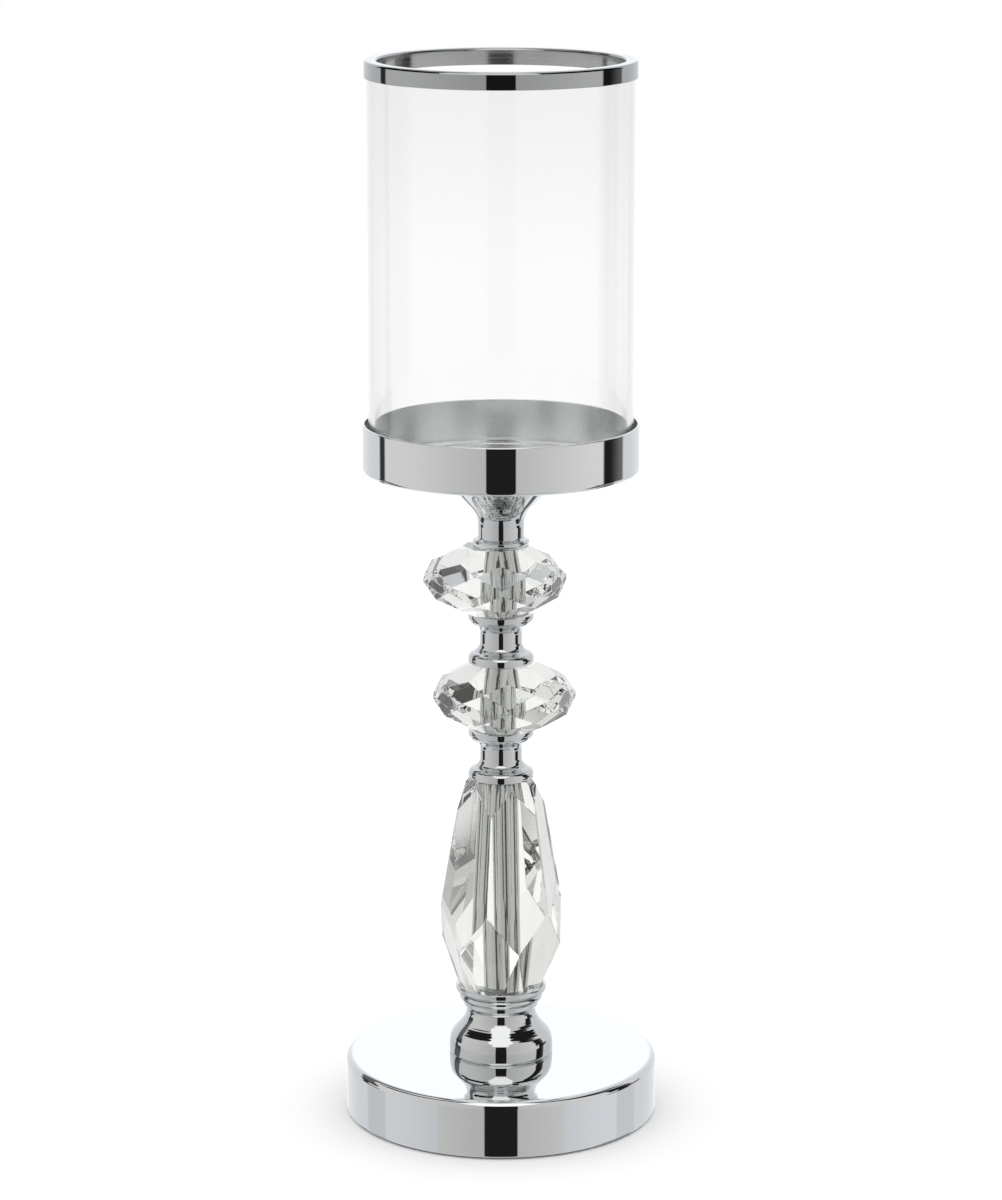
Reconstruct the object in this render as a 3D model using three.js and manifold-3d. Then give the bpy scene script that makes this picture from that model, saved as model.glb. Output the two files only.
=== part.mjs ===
// A tabletop hurricane lantern on a crystal stem: a weighted chrome base, a baluster foot, three cut
// crystals threaded on one tie rod with turned chrome spools between them, a flared neck, a shallow cup,
// and a clear glass cylinder with a chrome rim ring that lifts off for the candle.
// Millimetres, +Z up. The origin is the middle of the underside, on the surface the lantern stands on.
import * as THREE from "three";
import { mergeVertices } from "three/addons/utils/BufferGeometryUtils.js";
import Module from "manifold-3d";

// Driving dimensions.
const fit = {
  rod: 0.2, // radial room of a rod in a drilled hole
  loose: 0.4, // radial room of the rod in a sleeve, and of a sleeve in a crystal's bore
  end: 0.3, // end room of a sleeve, so that the nuts clamp the crystals and not the sleeves
  cover: 0.4, // how far a nut and its rod end stay inside their pocket
  socket: 4.2, // room round a washer for the tool that turns its nut
  stone: 0.6, // room of the column's lower corners in the foot's seat
  pan: 0.4, // radial room of the cup's pan in the neck's mouth
  glass: 1.3, // radial room of the glass in the cup
};

const base = {
  radius: 60,
  top: 22.8, // height of the top face above the table
  wall: 1.2,
  edgeRadius: 2.6,
  lift: 0.9, // shadow gap between the shell's lower edge and the table
  padThickness: 2.2,
  padInset: 1.4, // how far the pad stays inside the shell's wall
  weightGap: 0.5,
};

const rod = { radius: 3, below: 2.4, above: 0.5 }; // M6, standing out past the lower and the upper nut
const nut = { acrossFlats: 10, height: 5, lowHeight: 3.2, faceInset: 0.2, bevel: 30 };
const plainWasher = { radius: 9, thickness: 1.2, lowThickness: 0.8 };
const clearWasher = { inset: 2, thickness: 0.4 }; // set in from the spool's edge
const sleeve = { wall: 1.8 };

const foot = {
  seatRadius: 19.3,
  bulgeRadius: 20,
  bulgeFrom: 2.2, // heights above the base's top face
  bulgeTo: 8.2,
  shoulderRadius: 6.2,
  neckRadius: 12.95,
  neckHeight: 17.3,
  stepRadius: 14.3,
  stepFrom: 19.2,
  beadRadius: 16,
  beadFrom: 21.1,
  beadTo: 24.6,
  lipFrom: 25.3,
  height: 27.6,
  recess: 2, // depth of the crystal's seat in the lip
  lipWall: 1.1,
  hollowRadius: 14.6, // cored underside
  hollowWall: 6, // height of its upright wall
  hollowDepth: 12,
  hollowDraw: 5, // how far its roof draws in before it reaches the rod's hole
  seatChamfer: 0.5, // at the lower edge, below a soft shoulder of this height and depth
  seatShoulder: 0.9,
  seatStep: 0.2,
  shoulderSweep: 62, // degrees the shoulder turns through before the waist takes over
  beadSweep: 65,
  groove: 0.5, // depth of the groove between the bead and the lip, and of the waist's step
  lipEase: 0.5,
};

const column = {
  sides: 6,
  turn: -13, // azimuth of one vertical ridge, from the front towards +X, in degrees
  height: 84,
  kneeHeight: 19.2, // lowest point of the long panels
  apexHeight: 34.7, // top of the kites that close the bottom
  shoulderHeight: 72.2, // foot of the facets that close the top
  kneePanel: 23.5, // distance of a long panel from the axis at these heights
  shoulderPanel: 15.3,
  baseTriangle: 15.1, // distance of a small triangle from the axis at the bottom face
  topRadius: 12.3, // corner radius of the top face
};

const rondelle = {
  sides: 8,
  height: 25.6,
  girdleRadius: 27.3,
  edgeHalf: 0.95, // half the height of the upright edges of the girdle
  shoulderHalf: 5.6, // height of the girdle facets' points above the middle
  tableRadius: 12.4,
};
const turns = { lower: 4, upper: 6 }; // azimuth of a rondelle's crown facet, in degrees
const offsets = { lower: 1.3, upper: -2.3 }; // towards +X, as their holes lie a little off their middle

const spool = {
  height: 19.1,
  flangeRadius: 12.5,
  flangeBand: 1.3,
  neckRadius: 8,
  roundRadius: 2.9, // the convex round of each flange
  edge: 0.3, // eased edge of each end face
  sweep: 70, // degrees the round turns through before the hollow of the neck takes over
};

const neck = {
  height: 28.64,
  beadRadius: 10.7,
  beadHeight: 2.5,
  beadSweep: 80,
  fillet: 0.4, // above the bead
  stemRadius: 8.7,
  stemTo: 7.6, // heights above the neck's lower face
  coneFrom: 9.4,
  coneFromRadius: 9.8,
  coneTo: 19.4,
  coneToRadius: 17.2,
  rimRadius: 19,
  rimFrom: 23,
};

const cup = {
  radius: 52.2,
  height: 18.2,
  wall: 1,
  floor: 1.2,
  edgeRadius: 1.6,
  panEdge: 0.6,
  lipRadius: 0.35,
  seatGap: 3.5, // from the glass in to the edge of the raised plate for the candle
  seatRise: 0.4,
  seatChamfer: 0.4,
};

const glass = { wall: 2.4, height: 151, edgeRadius: 0.8 };

const rim = {
  outerSkirt: 0.55,
  innerSkirt: 1.3,
  gap: 0.3, // room for the clear bond between the ring and the glass
  cap: 1.5,
  depth: 6.5,
  edgeRadius: 0.6,
  footChamfer: 0.3, // at the inner skirt's lower edge
};

// Sizes that follow from the ones above.
const rodHole = rod.radius + fit.rod;
const sleeveInner = rod.radius + fit.loose;
const sleeveOuter = sleeveInner + sleeve.wall;
const crystalBore = sleeveOuter + fit.loose;
const pocket = {
  radius: plainWasher.radius + fit.socket,
  depth: plainWasher.thickness + nut.height + rod.below + fit.cover,
};
const pan = {
  radius: plainWasher.radius + fit.socket, // inside of the pan pressed in the cup's floor
  depth: plainWasher.lowThickness + nut.lowHeight + rod.above + fit.cover,
};
const mouth = { radius: pan.radius + cup.wall + fit.pan, depth: pan.depth + fit.pan };
const glassOuter = cup.radius - cup.wall - fit.glass;
const glassInner = glassOuter - glass.wall;
const candleSeat = glassInner - cup.seatGap;

// Levels, from the table up. Everything on the rod is one stack.
const heights = {};
heights.shellEdge = base.lift;
heights.weightBottom = base.padThickness;
heights.plateUnder = base.top - base.wall;
heights.pocketRoof = heights.weightBottom + pocket.depth;
heights.lowerNut = heights.pocketRoof - plainWasher.thickness - nut.height;
heights.foot = base.top;
heights.columnSeat = heights.foot + foot.height - foot.recess;
heights.column = heights.columnSeat + clearWasher.thickness;
heights.lowerSpool = heights.column + column.height + clearWasher.thickness;
heights.lowerRondelle = heights.lowerSpool + spool.height + clearWasher.thickness;
heights.upperSpool = heights.lowerRondelle + rondelle.height + clearWasher.thickness;
heights.upperRondelle = heights.upperSpool + spool.height + clearWasher.thickness;
heights.neck = heights.upperRondelle + rondelle.height + clearWasher.thickness;
heights.cup = heights.neck + neck.height;
heights.cupFloor = heights.cup + cup.floor;
heights.panFloor = heights.cupFloor - pan.depth;
heights.upperNut = heights.panFloor + plainWasher.lowThickness;
heights.rodTop = heights.upperNut + nut.lowHeight + rod.above;
heights.glassTop = heights.cupFloor + glass.height;
heights.rimTop = heights.glassTop + rim.gap + rim.cap;

const finishes = {
  chrome: { color: 0xd6d8d8, metalness: 1, roughness: 0.05 },
  crystal: { color: 0xf2f5f2, metalness: 0, roughness: 0.02, transparent: true, opacity: 0.4 },
  glass: { color: 0xf6f9f8, metalness: 0, roughness: 0.02, transparent: true, opacity: 0.2 },
  clearPlastic: { color: 0xe9ecea, metalness: 0, roughness: 0.3, transparent: true, opacity: 0.6 },
  iron: { color: 0x3a3b3c, metalness: 0.6, roughness: 0.7 },
  zinc: { color: 0xa8abad, metalness: 1, roughness: 0.35 },
  foam: { color: 0x1d1e20, metalness: 0, roughness: 0.9 },
};

const wasm = await Module();
wasm.setup();

const lantern = new THREE.Group();

function add(name, geometry, finish, z = 0) {
  const mesh = new THREE.Mesh(geometry, new THREE.MeshStandardMaterial(finishes[finish]));
  mesh.name = name;
  mesh.position.z = z;
  lantern.add(mesh);
  return mesh;
}

const radians = THREE.MathUtils.degToRad;
const at = (r, z) => new THREE.Vector2(r, z);

// Points of an arc in the half plane of a profile, angles in degrees from +r towards +z.
function arc(r, z, radius, from, to, steps) {
  return Array.from({ length: steps + 1 }, (_, i) => {
    const angle = radians(from + ((to - from) * i) / steps);
    return at(r + radius * Math.cos(angle), z + radius * Math.sin(angle));
  });
}

// A turned piece about Z. Its profile goes up the outside and down the bore, and closes on itself.
function turned(profile, segments) {
  const closed = profile[0].x > 0 ? [...profile, profile[0].clone()] : profile;
  return new THREE.LatheGeometry(closed, segments).rotateX(Math.PI / 2);
}

// A plain ring or tube.
function ring(outer, inner, height, segments) {
  return turned([at(inner, 0), at(outer, 0), at(outer, height), at(inner, height)], segments);
}

function toSolid(geometry) {
  const bare = geometry.clone();
  bare.deleteAttribute("normal");
  bare.deleteAttribute("uv");
  const merged = mergeVertices(bare, 1e-4);
  return new wasm.Manifold(
    new wasm.Mesh({
      numProp: 3,
      vertProperties: merged.attributes.position.array,
      triVerts: new Uint32Array(merged.index.array),
    }),
  );
}

function toGeometry(solid) {
  const mesh = solid.getMesh();
  return new THREE.BufferGeometry()
    .setAttribute("position", new THREE.BufferAttribute(mesh.vertProperties, 3))
    .setIndex(new THREE.BufferAttribute(mesh.triVerts, 1));
}

// Base: a pressed shell over a cast weight, with a foam pad under it.
function baseShell() {
  const { radius, top, wall, edgeRadius } = base;
  const inner = edgeRadius - wall;
  return turned(
    [
      at(radius - wall, heights.shellEdge),
      at(radius, heights.shellEdge),
      ...arc(radius - edgeRadius, top - edgeRadius, edgeRadius, 0, 90, 4),
      at(rodHole, top),
      at(rodHole, top - wall),
      ...arc(radius - edgeRadius, top - edgeRadius, inner, 90, 0, 2),
    ],
    56,
  );
}

function baseWeight() {
  const radius = base.radius - base.wall - base.weightGap;
  const bevel = base.edgeRadius - base.wall;
  return turned(
    [
      at(pocket.radius, heights.weightBottom),
      at(radius, heights.weightBottom),
      at(radius, heights.plateUnder - bevel),
      at(radius - bevel, heights.plateUnder),
      at(rodHole, heights.plateUnder),
      at(rodHole, heights.pocketRoof),
      at(pocket.radius, heights.pocketRoof),
    ],
    48,
  );
}

function basePad() {
  const radius = base.radius - base.wall - base.padInset;
  return turned([at(0, 0), at(radius, 0), at(radius, base.padThickness), at(0, base.padThickness)], 40);
}

// A hexagon nut with both faces bevelled.
function hexNut(height) {
  const corner = nut.acrossFlats / 2 / Math.cos(Math.PI / 6);
  const outline = new THREE.Shape(
    Array.from({ length: 6 }, (_, i) =>
      at(corner * Math.cos((i * Math.PI) / 3), corner * Math.sin((i * Math.PI) / 3)),
    ),
  );
  outline.holes.push(new THREE.Path().absarc(0, 0, rodHole, 0, Math.PI * 2, true));
  const prism = new THREE.ExtrudeGeometry(outline, {
    depth: height,
    bevelEnabled: false,
    curveSegments: 6,
  });
  const flat = nut.acrossFlats / 2 - nut.faceInset;
  const bevel = (corner - flat) * Math.tan(radians(nut.bevel));
  const envelope = turned(
    [at(0, 0), at(flat, 0), at(corner, bevel), at(corner, height - bevel), at(flat, height), at(0, height)],
    24,
  );
  return toGeometry(toSolid(prism).intersect(toSolid(envelope)));
}

// Foot: a baluster with a bulge, a shoulder, a waist and a ringed collar, cored underneath.
function stemFoot() {
  const f = foot;
  const sweep = radians(f.shoulderSweep);
  const shoulderTop = f.bulgeTo + f.shoulderRadius * Math.sin(sweep);
  const shoulderR = f.bulgeRadius - f.shoulderRadius * (1 - Math.cos(sweep));
  const ease = (f.neckHeight - shoulderTop) / 3; // the waist leaves the shoulder and ends upright
  const waist = new THREE.CubicBezierCurve(
    at(shoulderR, shoulderTop),
    at(shoulderR - ease * Math.tan(sweep), shoulderTop + ease),
    at(f.neckRadius, f.neckHeight - 2 * ease),
    at(f.neckRadius, f.neckHeight),
  );
  const beadMiddle = (f.beadFrom + f.beadTo) / 2;
  const beadHalf = (f.beadTo - f.beadFrom) / 2;
  const lipInner = columnFootRadius() + fit.stone;
  const lipOuter = lipInner + f.lipWall;
  return turned(
    [
      at(f.hollowRadius, 0),
      at(f.seatRadius, 0),
      at(f.seatRadius, f.seatChamfer),
      at(f.bulgeRadius - f.seatStep, f.seatShoulder),
      at(f.bulgeRadius, f.bulgeFrom),
      ...arc(f.bulgeRadius - f.shoulderRadius, f.bulgeTo, f.shoulderRadius, 0, f.shoulderSweep, 4),
      ...waist.getPoints(6).slice(1),
      at(f.neckRadius + f.groove, f.stepFrom - f.groove),
      at(f.stepRadius, f.stepFrom),
      at(f.stepRadius, f.beadFrom),
      ...arc(f.beadRadius - beadHalf, beadMiddle, beadHalf, -f.beadSweep, f.beadSweep, 3),
      at(f.beadRadius - f.groove, f.lipFrom),
      at(lipOuter - f.lipEase, f.lipFrom),
      at(lipOuter, f.lipFrom + f.lipEase),
      at(lipOuter, f.height - f.lipEase),
      at(lipOuter - f.lipEase, f.height),
      at(lipInner, f.height),
      at(lipInner, f.height - f.recess),
      at(rodHole, f.height - f.recess),
      at(rodHole, f.hollowDepth),
      at(f.hollowRadius - f.hollowDraw, f.hollowDepth - f.hollowDraw / 2),
      at(f.hollowRadius, f.hollowWall),
    ],
    32,
  );
}

// A cut crystal, given as the flat facets that bound it. A facet lies square to the direction azimuth
// (degrees from the front, -Y, towards +X), at the given distance from the axis at height z,
// and draws in by slope for each millimetre of height.
function facet(azimuth, distance, z, slope) {
  const a = radians(azimuth);
  const normal = new THREE.Vector3(Math.sin(a), -Math.cos(a), slope);
  const reach = distance + slope * z;
  return { normal: normal.clone().normalize(), reach: reach / normal.length() };
}

// The same facet repeated round the axis.
function tier(count, azimuth, distance, z, slope) {
  return Array.from({ length: count }, (_, i) => facet(azimuth + (360 * i) / count, distance, z, slope));
}

function endFaces(height) {
  return [
    { normal: new THREE.Vector3(0, 0, 1), reach: height },
    { normal: new THREE.Vector3(0, 0, -1), reach: 0 },
  ];
}

// Where three facets meet, or null if they don't meet in one point.
function corner(a, b, c) {
  const bc = new THREE.Vector3().crossVectors(b.normal, c.normal);
  const volume = a.normal.dot(bc);
  if (Math.abs(volume) < 1e-6) return null;
  const ca = new THREE.Vector3().crossVectors(c.normal, a.normal);
  const ab = new THREE.Vector3().crossVectors(a.normal, b.normal);
  return bc
    .multiplyScalar(a.reach)
    .addScaledVector(ca, b.reach)
    .addScaledVector(ab, c.reach)
    .divideScalar(volume);
}

// The closed solid inside all the facets, its faces fanned from their own corners.
function cutStone(facets) {
  const near = 1e-4;
  const corners = [];
  for (let i = 0; i < facets.length; i++)
    for (let j = i + 1; j < facets.length; j++)
      for (let k = j + 1; k < facets.length; k++) {
        const point = corner(facets[i], facets[j], facets[k]);
        if (!point || facets.some((f) => f.normal.dot(point) > f.reach + near)) continue;
        if (!corners.some((known) => known.distanceTo(point) < 10 * near)) corners.push(point);
      }
  const position = [];
  for (const { normal, reach } of facets) {
    const face = corners.filter((point) => Math.abs(normal.dot(point) - reach) < 2 * near);
    if (face.length < 3) continue;
    const middle = face.reduce((sum, p) => sum.add(p), new THREE.Vector3()).divideScalar(face.length);
    const u = face[0].clone().sub(middle).normalize();
    const v = new THREE.Vector3().crossVectors(normal, u);
    const turn = (p) => Math.atan2(p.clone().sub(middle).dot(v), p.clone().sub(middle).dot(u));
    face.sort((p, q) => turn(p) - turn(q));
    for (let i = 1; i + 1 < face.length; i++) position.push(face[0], face[i], face[i + 1]);
  }
  return new THREE.BufferGeometry().setFromPoints(position);
}

// The stone with the hole for its sleeve drilled through.
function drilled(stone, height) {
  const past = 1;
  const drill = ring(crystalBore, 0, height + 2 * past, 20).translate(0, 0, -past);
  return toGeometry(toSolid(stone).subtract(toSolid(drill)));
}

// The sloping sides of the column's lower facets, each a distance from the axis at a height.
function columnSkirt() {
  const c = column;
  const toRidge = Math.cos(radians(180 / c.sides));
  const panelSlope = (c.kneePanel - c.shoulderPanel) / (c.shoulderHeight - c.kneeHeight);
  const apexPanel = c.kneePanel - panelSlope * (c.apexHeight - c.kneeHeight);
  const apexKite = apexPanel / toRidge; // two panels and a kite share the apex
  const kneeKite = c.kneePanel * toRidge; // two kites and a panel share the knee
  const kiteSlope = (kneeKite - apexKite) / (c.apexHeight - c.kneeHeight);
  return { panelSlope, apexKite, kiteSlope, baseKite: apexKite + kiteSlope * c.apexHeight };
}

// Radius of the corners of the column's bottom face, where a kite meets a small triangle.
function columnFootRadius() {
  const { baseKite: a } = columnSkirt();
  const b = column.baseTriangle;
  const step = radians(180 / column.sides);
  return Math.sqrt(a * a + b * b - 2 * a * b * Math.cos(step)) / Math.sin(step);
}

// Tall drop: long panels, a skirt of kites and triangles below, and pointed facets above.
function columnFacets() {
  const c = column;
  const half = 180 / c.sides;
  const toRidge = Math.cos(radians(half));
  const { panelSlope, apexKite, kiteSlope } = columnSkirt();
  const triangleSlope = (c.baseTriangle - c.kneePanel) / c.kneeHeight;
  const shoulderRidge = c.shoulderPanel / toRidge;
  const topSlope = (shoulderRidge - c.topRadius * toRidge) / (c.height - c.shoulderHeight);
  return [
    ...tier(c.sides, c.turn + half, c.kneePanel, c.kneeHeight, panelSlope),
    ...tier(c.sides, c.turn, apexKite, c.apexHeight, kiteSlope),
    ...tier(c.sides, c.turn + half, c.kneePanel, c.kneeHeight, triangleSlope),
    ...tier(c.sides, c.turn, shoulderRidge, c.shoulderHeight, topSlope),
    ...endFaces(c.height),
  ];
}

// The same facets moved towards +X, away from the drilled hole.
function shifted(facets, offset) {
  return facets.map(({ normal, reach }) => ({ normal, reach: reach + normal.x * offset }));
}

// Rondelle: upright girdle facets, and above and below them a row of diamonds and a row of shallow kites.
function rondelleFacets(turn) {
  const r = rondelle;
  const half = 180 / r.sides;
  const toRidge = Math.cos(radians(half));
  const middle = r.height / 2;
  const girdle = r.girdleRadius * toRidge;
  const crownSlope = (r.girdleRadius - girdle * toRidge) / (r.shoulderHalf - r.edgeHalf);
  const kiteSlope = (girdle - r.tableRadius * toRidge) / (middle - r.shoulderHalf);
  return [
    ...tier(r.sides, turn + half, girdle, middle, 0),
    ...tier(r.sides, turn, r.girdleRadius, middle + r.edgeHalf, crownSlope),
    ...tier(r.sides, turn, r.girdleRadius, middle - r.edgeHalf, -crownSlope),
    ...tier(r.sides, turn + half, girdle, middle + r.shoulderHalf, kiteSlope),
    ...tier(r.sides, turn + half, girdle, middle - r.shoulderHalf, -kiteSlope),
    ...endFaces(r.height),
  ];
}

// Spool: two flanges rounded over into a hollow neck.
function spoolBody() {
  const s = spool;
  const sweep = radians(s.sweep);
  const roundR = s.flangeRadius - s.roundRadius;
  const hollow = (roundR + s.roundRadius * Math.cos(sweep) - s.neckRadius) / (1 - Math.cos(sweep));
  const reach = s.roundRadius + hollow;
  const hollowR = roundR + reach * Math.cos(sweep);
  const hollowZ = s.flangeBand + reach * Math.sin(sweep);
  const lower = [
    at(s.flangeRadius - s.edge, 0),
    ...arc(roundR, s.flangeBand, s.roundRadius, 0, s.sweep, 4),
    ...arc(hollowR, hollowZ, hollow, 180 + s.sweep, 180, 4).slice(1),
  ];
  const upper = lower.map((p) => at(p.x, s.height - p.y)).reverse();
  return turned([at(rodHole, 0), ...lower, ...upper, at(rodHole, s.height)], 26);
}

// Neck: a bead on the top crystal, a short stem and a cone that carries the cup, open at its mouth.
function cupNeck() {
  const n = neck;
  const coneSlope = (n.coneToRadius - n.coneFromRadius) / (n.coneTo - n.coneFrom);
  const easeIn = (n.coneFrom - n.stemTo) / 2; // the stem flares upright into the cone
  const flare = new THREE.CubicBezierCurve(
    at(n.stemRadius, n.stemTo),
    at(n.stemRadius, n.stemTo + easeIn),
    at(n.coneFromRadius - coneSlope * easeIn, n.coneFrom - easeIn),
    at(n.coneFromRadius, n.coneFrom),
  );
  const easeOut = (n.rimFrom - n.coneTo) / 2.4; // and the cone turns upright under the cup
  const shoulder = new THREE.CubicBezierCurve(
    at(n.coneToRadius, n.coneTo),
    at(n.coneToRadius + coneSlope * easeOut, n.coneTo + easeOut),
    at(n.rimRadius, n.rimFrom - easeOut),
    at(n.rimRadius, n.rimFrom),
  );
  const bead = n.beadHeight / 2;
  return turned(
    [
      at(rodHole, 0),
      ...arc(n.beadRadius - bead, bead, bead, -n.beadSweep, n.beadSweep, 4),
      at(n.stemRadius + n.fillet, n.beadHeight + n.fillet),
      at(n.stemRadius, n.beadHeight + 2 * n.fillet),
      ...flare.getPoints(4),
      ...shoulder.getPoints(4),
      at(n.rimRadius, n.height),
      at(mouth.radius, n.height),
      at(mouth.radius, n.height - mouth.depth),
      at(rodHole, n.height - mouth.depth),
    ],
    30,
  );
}

// Cup: a spun dish with a raised plate for the candle and a pan in its middle for the washer and the nut.
function lanternCup() {
  const c = cup;
  const inside = c.radius - c.wall;
  const top = c.height;
  const inner = c.edgeRadius - c.wall;
  const panOuter = pan.radius + c.wall;
  const panTop = c.floor - pan.depth;
  const seat = c.floor + c.seatRise;
  return turned(
    [
      at(rodHole, -pan.depth),
      at(panOuter - c.panEdge, -pan.depth),
      at(panOuter, c.panEdge - pan.depth),
      at(panOuter, 0),
      ...arc(c.radius - c.edgeRadius, c.edgeRadius, c.edgeRadius, -90, 0, 3),
      at(c.radius, top - c.lipRadius),
      at(c.radius - c.lipRadius, top),
      at(inside + c.lipRadius, top),
      at(inside, top - c.lipRadius),
      ...arc(inside - inner, c.floor + inner, inner, 0, -90, 2),
      at(candleSeat + c.seatChamfer, c.floor),
      at(candleSeat, seat),
      at(pan.radius, seat),
      at(pan.radius, panTop),
      at(rodHole, panTop),
    ],
    50,
  );
}

// Glass: an open cylinder with both edges fire-polished round.
function hurricaneGlass() {
  const { height, edgeRadius: e } = glass;
  return turned(
    [
      ...arc(glassInner + e, e, e, 180, 270, 1),
      ...arc(glassOuter - e, e, e, -90, 0, 1),
      ...arc(glassOuter - e, height - e, e, 0, 90, 1),
      ...arc(glassInner + e, height - e, e, 90, 180, 1),
    ],
    48,
  );
}

// Rim ring: a channel bonded over the top edge of the glass.
function rimRing() {
  const slotOuter = glassOuter + rim.gap;
  const slotInner = glassInner - rim.gap;
  const outer = slotOuter + rim.outerSkirt;
  const inner = slotInner - rim.innerSkirt;
  const e = rim.edgeRadius;
  return turned(
    [
      at(inner + rim.footChamfer, 0),
      at(slotInner, 0),
      at(slotInner, rim.depth - rim.cap),
      at(slotOuter, rim.depth - rim.cap),
      at(slotOuter, 0),
      at(outer, 0),
      ...arc(outer - e, rim.depth - e, e, 0, 90, 2),
      ...arc(inner + e, rim.depth - e, e, 90, 180, 2),
      at(inner, rim.footChamfer),
    ],
    50,
  );
}

// Assembly, from the table up.
add("base_shell", baseShell(), "chrome");
add("base_weight", baseWeight(), "iron");
add("base_pad", basePad(), "foam");
add("base_nut", hexNut(nut.height), "zinc", heights.lowerNut);
add(
  "base_washer",
  ring(plainWasher.radius, rodHole, plainWasher.thickness, 24),
  "zinc",
  heights.pocketRoof - plainWasher.thickness,
);
add("stem_foot", stemFoot(), "chrome", heights.foot);

const stones = [
  { name: "column", z: heights.column, height: column.height, facets: columnFacets() },
  {
    name: "lower_rondelle",
    z: heights.lowerRondelle,
    height: rondelle.height,
    facets: shifted(rondelleFacets(turns.lower), offsets.lower),
  },
  {
    name: "upper_rondelle",
    z: heights.upperRondelle,
    height: rondelle.height,
    facets: shifted(rondelleFacets(turns.upper), offsets.upper),
  },
];
for (const { name, z, height, facets } of stones) {
  const washer = () =>
    ring(spool.flangeRadius - clearWasher.inset, crystalBore, clearWasher.thickness, 20);
  const tube = height + 2 * clearWasher.thickness - fit.end;
  add(name + "_crystal", drilled(cutStone(facets), height), "crystal", z);
  add(name + "_lower_washer", washer(), "clearPlastic", z - clearWasher.thickness);
  add(name + "_upper_washer", washer(), "clearPlastic", z + height);
  add(
    name + "_sleeve",
    ring(sleeveOuter, sleeveInner, tube, 20),
    "chrome",
    z - clearWasher.thickness,
  );
}

add("lower_spool", spoolBody(), "chrome", heights.lowerSpool);
add("upper_spool", spoolBody(), "chrome", heights.upperSpool);
add("cup_neck", cupNeck(), "chrome", heights.neck);

const rodBottom = heights.lowerNut - rod.below;
const rodLength = heights.rodTop - rodBottom;
const rodBody = turned([at(0, 0), at(rod.radius, 0), at(rod.radius, rodLength), at(0, rodLength)], 20);
add("tie_rod", rodBody, "zinc", rodBottom);

add("lantern_cup", lanternCup(), "chrome", heights.cup);
add(
  "cup_washer",
  ring(plainWasher.radius, rodHole, plainWasher.lowThickness, 24),
  "zinc",
  heights.panFloor,
);
add("cup_nut", hexNut(nut.lowHeight), "zinc", heights.upperNut);
add("hurricane_glass", hurricaneGlass(), "glass", heights.cupFloor);
add("rim_ring", rimRing(), "chrome", heights.rimTop - rim.depth);

export default lantern;
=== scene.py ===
import math

import bmesh
import bpy
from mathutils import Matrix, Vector
from mathutils.geometry import interpolate_bezier


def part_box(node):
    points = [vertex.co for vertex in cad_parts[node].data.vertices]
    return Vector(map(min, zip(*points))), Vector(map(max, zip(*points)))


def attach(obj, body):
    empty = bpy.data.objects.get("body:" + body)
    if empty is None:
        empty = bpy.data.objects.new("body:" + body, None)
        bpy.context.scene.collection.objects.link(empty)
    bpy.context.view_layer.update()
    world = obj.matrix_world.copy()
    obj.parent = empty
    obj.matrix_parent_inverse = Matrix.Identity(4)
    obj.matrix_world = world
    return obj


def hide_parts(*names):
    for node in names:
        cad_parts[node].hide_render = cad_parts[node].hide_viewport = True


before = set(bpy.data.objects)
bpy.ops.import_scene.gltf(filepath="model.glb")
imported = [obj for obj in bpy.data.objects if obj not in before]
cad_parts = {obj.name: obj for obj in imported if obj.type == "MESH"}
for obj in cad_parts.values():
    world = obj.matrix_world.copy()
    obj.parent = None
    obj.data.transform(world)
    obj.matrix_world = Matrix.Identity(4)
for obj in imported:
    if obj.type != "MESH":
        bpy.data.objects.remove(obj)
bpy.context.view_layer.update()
mm = 0.001
print("frame loaded:", len(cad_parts), "nodes")

# Node trees

class Wire:  # an output socket that takes plain arithmetic
    def __init__(self, board, socket):
        self.board = board
        self.socket = socket

    def of(self, name):  # another output of the same node
        return Wire(self.board, self.socket.node.outputs[name])

    def __add__(self, other):
        return self.board.calc("ADD", self, other)

    def __radd__(self, other):
        return self.board.calc("ADD", other, self)

    def __sub__(self, other):
        return self.board.calc("SUBTRACT", self, other)

    def __rsub__(self, other):
        return self.board.calc("SUBTRACT", other, self)

    def __mul__(self, other):
        return self.board.calc("MULTIPLY", self, other)

    def __truediv__(self, other):
        return self.board.calc("DIVIDE", self, other)


class Board:  # a node tree, with one way to add any node
    def __init__(self, tree):
        self.tree = tree

    def feed(self, socket, value):
        if isinstance(value, Wire):
            self.tree.links.new(value.socket, socket)
        else:
            socket.default_value = value

    def add(self, kind, settings=None, sockets=None, output=0):
        node = self.tree.nodes.new(kind)
        for key, value in (settings or {}).items():
            setattr(node, key, value)
        for key, value in (sockets or {}).items():
            self.feed(node.inputs[key], value)
        return Wire(self, node.outputs[output]) if node.outputs else node

    def calc(self, operation, *values):
        return self.add("ShaderNodeMath", {"operation": operation}, dict(enumerate(values)))

    def between(self, value, low, high):  # 0 at low, 1 at high, eased
        ends = {"From Min": low, "From Max": high, "Value": value}
        return self.add("ShaderNodeMapRange", {"interpolation_type": "SMOOTHSTEP"}, ends)

    def blendColour(self, factor, first, second):
        return self.add("ShaderNodeMix", {"data_type": "RGBA"}, {0: factor, 6: first, 7: second}, 2)


def grey(value):
    return (value, value, value, 1)


# Finishes

def newFinish(name, constants):
    material = bpy.data.materials.new(name)
    material.use_nodes = True
    board = Board(material.node_tree)
    shader = material.node_tree.nodes["Principled BSDF"]
    for key, value in constants.items():
        shader.inputs[key].default_value = value
    return material, board, shader


def objectPlace(board):
    return board.add("ShaderNodeTexCoord", output="Object")


def noise(board, scale, detail=3, place=None):
    sockets = {"Vector": place or objectPlace(board), "Scale": scale, "Detail": detail}
    return board.add("ShaderNodeTexNoise", None, sockets)


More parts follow.
